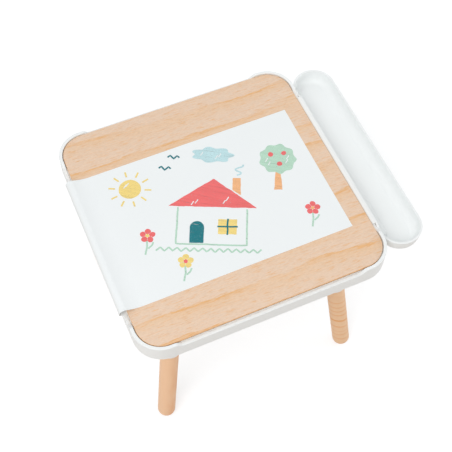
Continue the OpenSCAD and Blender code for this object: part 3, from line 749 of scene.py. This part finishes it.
# Round the tray: way along it, outward direction, and how far its edge rises
half_turn = [math.pi * k / 36 for k in range(36)]
paths = [(y, 1.0, 0.0, 0.0) for y in (-TRAY_Y, -100, 0, 100)]
paths += [(TRAY_Y, math.cos(a), math.sin(a), 0.0) for a in half_turn]
paths += [(y, -1.0, 0.0, dip_height(y, HOOK_HALF, HOOK_RUN, HOOK_RISE, 0.0)) for y in hook_side]
paths += [(-TRAY_Y, -math.cos(a), -math.sin(a), 0.0) for a in half_turn[1:]]
tray_rows = []
for y, ox, oy, rise in paths:
    section = outline([(0, TRAY_LOW, 0), (41.5, TRAY_LOW, 13), (TRAY_HALF, TRAY_RIM + rise, 1.2),
                       (TRAY_HALF - TRAY_WALL, TRAY_RIM + rise, 1.0), (37.1, TRAY_FLOOR, 16),
                       (0, TRAY_FLOOR, 0)], 8)
    tray_rows.append([(TRAY_X + r * ox, y + r * oy, z) for r, z in section])

hook = outline([(HOOK_IN, HOOK_FOOT, 0.5), (HOOK_IN + 2, HOOK_FOOT, 0.5), (HOOK_IN + 2, HOOK_UNDER, 0.4),
                (HOOK_TIP, HOOK_UNDER, 0), (HOOK_TIP, HOOK_TOP - 1.2, 0), (HOOK_TIP - 0.6, HOOK_TOP, 0),
                (HOOK_IN, HOOK_TOP, 1.1)], 3, 0.2)
hook_rows = [[(x, y, z) for x, z in hook] for y in (-HOOK_HALF, -60, 60, HOOK_HALF)]

quarter = [(math.sin(a), math.cos(a)) for a in [k / 8 * math.pi / 2 for k in range(9)]]
step_rows = []
for inset, z in ((0, -40.0), (0, -34.7), (0.15, -34.0), (0.5, -33.4), (1.0, -33.08), (1.7, -33.0)):
    r = STEP_ROUND - inset
    step_rows.append([(STEP_LEFT, STEP_FAR - inset, z)]
                     + [(STEP_MIDDLE + r * s, STEP_FAR - STEP_ROUND + r * c, z) for s, c in quarter]
                     + [(STEP_MIDDLE + r * c, STEP_NEAR + STEP_ROUND - r * s, z) for s, c in quarter]
                     + [(STEP_LEFT, STEP_NEAR + inset, z)])
build("hook_on_tray", [skin(tray_rows, close_points=False), capped(hook_rows), capped(step_rows)],
      [white_plastic], "tray", ["pen_tray"], sharp=34)

# ========================================================== the roll holder
# Two plastic cradles screwed to the bin's ends carry a wooden spindle. The
# roll of paper turns on it on two flanged plugs in its cardboard core.

SPINDLE_RADIUS, SPINDLE_END = 7.0, 179.25
for part, plastic, width in (("roll_cradle_", inner_plastic, 0.5), ("roll_hub_", white_plastic, 0.4)):
    for end in ("front", "rear"):
        eased(part + end, plastic, width)

spindle_wood = solid_wood("spindle_wood", Pale=srgb(232, 200, 168), Ring=srgb(206, 158, 114),
                          Dark=srgb(184, 134, 92), Heart=(0, 0.006, 0.015), Rings=420.0)
tip = [(0, SPINDLE_END), (SPINDLE_RADIUS - 0.8, SPINDLE_END), (SPINDLE_RADIUS - 0.2, SPINDLE_END - 0.3),
       (SPINDLE_RADIUS, SPINDLE_END - 1), (SPINDLE_RADIUS, 60)]
spindle_profile = [(r, -along) for r, along in tip] + tip[::-1]
spindle_axes = (Vector((ROLL_X, 0, ROLL_Z)), UP, EAST, NORTH)
spindle = build("turned_spindle", [skin(turned(spindle_axes, spindle_profile, 48), close_points=False)],
                [spindle_wood], "frame", ["roll_spindle"])
give_grain(spindle, spindle_axes, 1.9)

# Layers that are wound on the roll: rings on its ends, and faint lines round it
t, given = new_group("wound_layers", "Shader", Face=GREY, Gap=GREY, Layers=2600.0)
axes = add(t, "ShaderNodeSeparateXYZ", {"Vector": given["Vector"]}).outputs
away = length_of(t, add(t, "ShaderNodeCombineXYZ", {"X": axes["X"], "Y": axes["Z"]}))
wander = noise(t, given["Vector"], 60.0)
away = maths(t, "ADD", away, times(t, wander, 0.0006))
layer = add(t, "ShaderNodeTexNoise", {"W": times(t, away, given["Layers"])}, noise_dimensions="1D")
layer = ranged(t, layer, 0.45, 0.75, 0.0, 0.7)
wound = give_back(t, Colour=mixed(t, layer, given["Face"], given["Gap"]),
                  Roughness=ranged(t, wander, 0, 1, 0.75, 0.9), Height=layer)


def wound_material(name, face, gap, layers):
    """Paper or card wound about the spindle's line."""
    to_spindle = tuple(-c for c in placed(ROLL_X, 0, ROLL_Z))
    return covered(name, wound, 0.3, 0.0004, gloss=0.2, move=to_spindle, Face=face, Gap=gap, Layers=layers)


rolled_paper = wound_material("rolled_paper", srgb(240, 242, 243), srgb(196, 196, 192), 2600.0)
cardboard = wound_material("cardboard", srgb(190, 160, 122), srgb(158, 126, 90), 1400.0)
eased("roll_core", cardboard, 0.2)
eased("paper_roll", rolled_paper, 0.3)

# =============================================================== the paper
# One strip of drawing paper: off the roll, out between the top and the left
# rim, back over the edge in a soft bend, and flat on the top to its cut end.

t, given = new_group("paper_skin", "Shader", Colour=GREY, Fibre_Scale=1500.0)
cloud = noise(t, given["Vector"], 6.0)
fibre = noise(t, given["Vector"], given["Fibre Scale"], 3.0)
tone = times(t, ranged(t, cloud, 0, 1, 0.985, 1.015), ranged(t, fibre, 0, 1, 0.98, 1.02))
paper_skin = give_back(t, Colour=toned(t, given["Colour"], tone),
                       Roughness=ranged(t, fibre, 0, 1, 0.72, 0.86), Height=fibre)
paper = covered("drawing_paper", paper_skin, 0.12, 0.0003, gloss=0.2, Colour=srgb(241, 245, 246))

PAPER_WIDE, PAPER_SHIFT, PAPER_THICK, PAPER_Z = 305.0, -6.5, 0.26, 0.15
SLOT_X, SLOT_Z, TURN_R, ARCH_X, ARCH_R, ARCH_DOWN, SHEET_END = -250.0, -5.95, 5.0, -254.3, 10.7, 28.0, 212.5
ARCH_Z = SLOT_Z + TURN_R
TURN_X = ARCH_X - ARCH_R + TURN_R
# The bend ends in a wide curve, which meets the tabletop level
down = math.radians(ARCH_DOWN)
EASE_R = (ARCH_Z + ARCH_R * math.cos(down) - PAPER_Z) / (1 - math.cos(down))
EASE_X = ARCH_X + (ARCH_R + EASE_R) * math.sin(down)
# The strip leaves the roll where a line from the slot touches it
WRAP_R = 28.45
reach = math.hypot(SLOT_X - ROLL_X, SLOT_Z - ROLL_Z)
leave = math.atan2(SLOT_Z - ROLL_Z, ROLL_X - SLOT_X) - math.asin(WRAP_R / reach)


def arc(cx, cz, radius, start, end, steps):
    return [(cx + radius * math.cos(a), cz + radius * math.sin(a))
            for a in np.radians(np.linspace(start, end, steps + 1))]


off_roll = (ROLL_X + WRAP_R * math.sin(leave), ROLL_Z + WRAP_R * math.cos(leave))
way = [(off_roll[0] + (SLOT_X - off_roll[0]) * k / 12, off_roll[1] + (SLOT_Z - off_roll[1]) * k / 12)
       for k in range(13)]
way += arc(TURN_X, ARCH_Z, TURN_R, 270, 180, 12)
way += arc(ARCH_X, ARCH_Z, ARCH_R, 180, 155, 16)[1:]
on_top_from = len(way)
way += arc(ARCH_X, ARCH_Z, ARCH_R, 155, 90 - ARCH_DOWN, 26)[1:]
way += arc(EASE_X, EASE_R + PAPER_Z, EASE_R, 270 - ARCH_DOWN, 270, 14)[1:]
way += [(EASE_X + (SHEET_END - EASE_X) * k / 90, PAPER_Z) for k in range(1, 91)]
way = np.array(way)
ahead = np.gradient(way, axis=0)
ahead /= np.linalg.norm(ahead, axis=1)[:, None]
across = np.linspace(-PAPER_WIDE / 2, PAPER_WIDE / 2, 41)


def ripple(x, y):
    """How far the loose sheet lifts off the top, in millimetres."""
    if x < EASE_X:
        return 0.0
    rest = min((x - EASE_X) / 60, 1)
    end = max(0.0, (x - 185) / 28) ** 2
    side = max(0.0, (abs(y) - 136) / 17) ** 2
    wave = 0.5 + 0.25 * math.sin(x / 37 + 1.1) + 0.25 * math.sin(y / 29 + x / 61)
    return rest * (0.35 * end * (0.4 + 0.6 * wave) + 0.25 * side * wave)


rows = []
for i, ((x, z), (ax, az)) in enumerate(zip(way, ahead)):
    row = []
    for half in (PAPER_THICK / 2, -PAPER_THICK / 2):
        for y in (across if half > 0 else across[::-1]):
            lift = ripple(x, y) if i >= on_top_from else 0.0
            row.append((x + az * half, y + PAPER_SHIFT, z + lift - ax * half))
    rows.append(row)
sheet = build("drawing_paper_strip", [capped(rows)], [paper], None, ["paper_web", "drawing_sheet"],
              sharp=50)
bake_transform(sheet)

# ======================================================= the crayon drawing
# A child's picture in wax crayon on the sheet: a house with a tree, flowers,
# birds, a cloud and the sun. Each colour is a thin layer of wax on the paper.

# Wax that catches the paper's tooth: small gaps, and streaks along the strokes
t, given = new_group("crayon_wax", "Shader", Colour=GREY, Tooth_Scale=700.0, Streak_Scale=260.0)
tooth = noise(t, given["Vector"], given["Tooth Scale"])
slanted = add(t, "ShaderNodeMapping", {"Vector": given["Vector"], "Rotation": (0, 0, 0.6)})
streak = noise(t, slanted, given["Streak Scale"], along=0.08)
wax = give_back(t, Colour=toned(t, given["Colour"], ranged(t, streak, 0.3, 0.7, 0.93, 1.07)),
                Roughness=eased_range(t, tooth, 0.3, 0.7, 0.45, 0.62), Height=tooth,
                Alpha=times(t, eased_range(t, tooth, 0.28, 0.40, 0.35, 1.0),
                            eased_range(t, streak, 0.24, 0.36, 0.4, 1.0)))

CRAYONS = {"orange": (243, 184, 134), "green": (184, 219, 198), "coral": (238, 112, 112),
           "yellow": (243, 217, 133), "aqua": (192, 225, 230), "teal": (24, 118, 128),
           "bare": (238, 242, 243)}
crayons = {name: covered("crayon_" + name, wax, 0.2, 0.0002, gloss=0.3, Colour=srgb(*tint))
           for name, tint in CRAYONS.items()}


def hand_drawn(tree, given):
    """The source's lines as curves with a hand's wobble."""
    curve = add(tree, "GeometryNodeMeshToCurve", {"Mesh": given["Geometry"]})
    dense = add(tree, "GeometryNodeResampleCurve", {"Curve": curve, "Length": 0.0025}, mode="LENGTH")
    shake = add(tree, "ShaderNodeTexNoise", {"Scale": 75.0, "Detail": 1.0}).outputs["Color"]
    away = add(tree, "ShaderNodeVectorMath", {0: shake, 1: (0.5, 0.5, 0.5)}, operation="SUBTRACT")
    level = add(tree, "ShaderNodeVectorMath", {0: away, 1: (1, 1, 0)}, operation="MULTIPLY")
    shift = toned(tree, level, given["Wobble"])
    return add(tree, "GeometryNodeSetPosition", {"Geometry": dense, "Offset": shift})


# A flat band of wax along each line
t, given = new_group("stroke_maker", "Geometry", Width=0.003, Wobble=0.002, Material="Material")
path = add(t, "GeometryNodeSetCurveNormal", {"Curve": hand_drawn(t, given)}, mode="Z_UP")
ends = [add(t, "ShaderNodeCombineXYZ", {"X": times(t, given["Width"], share)}) for share in (-0.5, 0.5)]
flat = add(t, "GeometryNodeCurvePrimitiveLine", {"Start": ends[0], "End": ends[1]})
stroke_maker = finished(t, given, add(t, "GeometryNodeCurveToMesh", {"Curve": path, "Profile Curve": flat}))

# A closed line filled with wax, at its height
t, given = new_group("fill_maker", "Geometry", Height=0.4, Wobble=0.002, Material="Material")
patch = add(t, "GeometryNodeFillCurve", {"Curve": hand_drawn(t, given)}, mode="TRIANGLES")
fill_maker = finished(t, given, lifted(t, patch, given["Height"]))

PICTURE_TURN, SHEET_FACE, LAYER_STEP = math.radians(-25), 0.28, 0.03
STROKE, GAP_STROKE, LINE_WOBBLE, FILL_WOBBLE = 0.0034, 0.0020, 0.0022, 0.0030
HOUSE, SUN, CLOUD, TREE = (-26, -30), (-152, 88), (30, 100), (138, 22)
drawn = {}


def mark(kind, crayon, centre, points, size=1.0):
    """Adds a line or a filled shape to a crayon's layer, from points about its centre."""
    c, s = math.cos(PICTURE_TURN), math.sin(PICTURE_TURN)
    points = [(size * u, size * v) for u, v in points]
    drawn.setdefault((kind, crayon), []).append(
        [(centre[0] + c * u - s * v, centre[1] + s * u + c * v) for u, v in points])


def ray(a, length):
    return (length * math.cos(a), length * math.sin(a))


def round_shape(u, v, across, up, bumps=0, depth=0.0, steps=48):
    """An oval about (u, v), with bumps on it."""
    angles = [2 * math.pi * k / steps for k in range(steps)]
    return [(u + across * math.cos(a) * (1 + depth * math.cos(bumps * a)),
             v + up * math.sin(a) * (1 + depth * math.cos(bumps * a))) for a in angles]


door_arch = [(-19 - 9 * math.cos(a), -18 + 8 * math.sin(a)) for a in [math.pi * k / 8 for k in range(1, 8)]]
for kind, crayon, points in (
        ("fill", "coral", [(-58, 12), (0, 56), (58, 12)]),
        ("line", "green", [(-45, 10), (-45, -44), (45, -44), (45, 10)]),
        ("fill", "teal", [(-28, -42), (-28, -18), *door_arch, (-10, -18), (-10, -42)]),
        ("fill", "yellow", [(8, -28), (8, -6), (32, -6), (32, -28)]),
        ("line", "teal", [(20, -29), (20, -5)]),
        ("line", "teal", [(7, -17), (33, -17)]),
        ("fill", "orange", [(25, 39), (25, 58), (36, 58), (36, 31)])):
    mark(kind, crayon, HOUSE, points, 1.5)
mark("line", "aqua", HOUSE, [(46 + 7 * math.sin(k / 2.4) + k * 0.3, 94 + 1.2 * k) for k in range(22)])
mark("line", "green", HOUSE, [(-104 + 8 * k, -82 + (8 if k % 2 else 0)) for k in range(26)])
mark("fill", "yellow", SUN, round_shape(0, 0, 22, 22))
for a in [2 * math.pi * k / 10 for k in range(10)]:
    mark("line", "yellow", SUN, [ray(a, 29), ray(a, 42)])
mark("fill", "aqua", CLOUD, round_shape(0, 0, 40, 18, 7, 0.11, 84))
mark("fill", "orange", TREE, [(-7, -54), (-4, -8), (5, -8), (10, -54)])
mark("fill", "green", TREE, round_shape(0, 20, 36, 35, 9, 0.06, 90))
for u, v in ((-14, 30), (12, 34), (4, 8)):
    mark("fill", "coral", TREE, round_shape(u, v, 5.5, 5.5, steps=20))
for centre, petal, middle in (((-158, -24), "coral", "yellow"), ((-112, -104), "yellow", "coral"),
                              ((160, -92), "coral", "orange")):
    mark("line", "green", centre, [(0, -10), (1, -24), (-1, -42)])
    mark("line", "green", centre, [(3.2, -28), (10, -21), (12, -14)])
    for k in range(5):
        mark("fill", petal, centre, round_shape(*ray(2 * math.pi * (k + 0.25) / 5, 9.5), 6, 6, steps=20))
    mark("fill", middle, centre, round_shape(0, 0, 4, 4, steps=16))
for bird in ((-72, 104), (-46, 122)):
    mark("line", "teal", bird, [(-12, 3), (-7, 8), (0, 0), (7, 8), (12, 3)])
# Short gaps where the crayon skipped, over the larger shapes
for centre, gaps in ((SUN, ((-10, 6), (-6, 10))), (CLOUD, ((-22, 2), (8, -5), (14, -1))),
                     (TREE, ((-22, 16), (-17, 8), (18, 14), (20, 24))),
                     (HOUSE, ((-40, 26), (-32, 30), (22, 30), (28, 38)))):
    for u, v in gaps:
        mark("line", "bare", centre, [(u - 2.2, v - 4.5), (u + 0.4, v), (u + 2.6, v + 4.5)])

# The crayons lie over each other in the order of CRAYONS, a layer's step apart
for (kind, crayon), paths in drawn.items():
    filled = kind == "fill"
    height = SHEET_FACE + LAYER_STEP * (list(CRAYONS).index(crayon) + (1.0 if filled else 1.5))
    points, edges = [], []
    for number, path in enumerate(paths):
        first, z = len(points), height + 0.005 * (number % 3)
        points += [placed(x, y, -TOP_HEIGHT if filled else z) for x, y in path]
        edges += [(i, i + 1) for i in range(first, len(points) - 1)]
        if filled:
            edges.append((len(points) - 1, first))
    layer = made("crayon_%s_%s" % (crayon, kind), fill_maker if filled else stroke_maker, points, edges,
                 Material=crayons[crayon], Width=GAP_STROKE if crayon == "bare" else STROKE,
                 Wobble=FILL_WOBBLE if filled else LINE_WOBBLE, Height=(height + TOP_HEIGHT) / 1000)
    if sum(face.normal.z for face in layer.data.polygons) < 0:
        layer.data.flip_normals()
    settle(layer, "top")
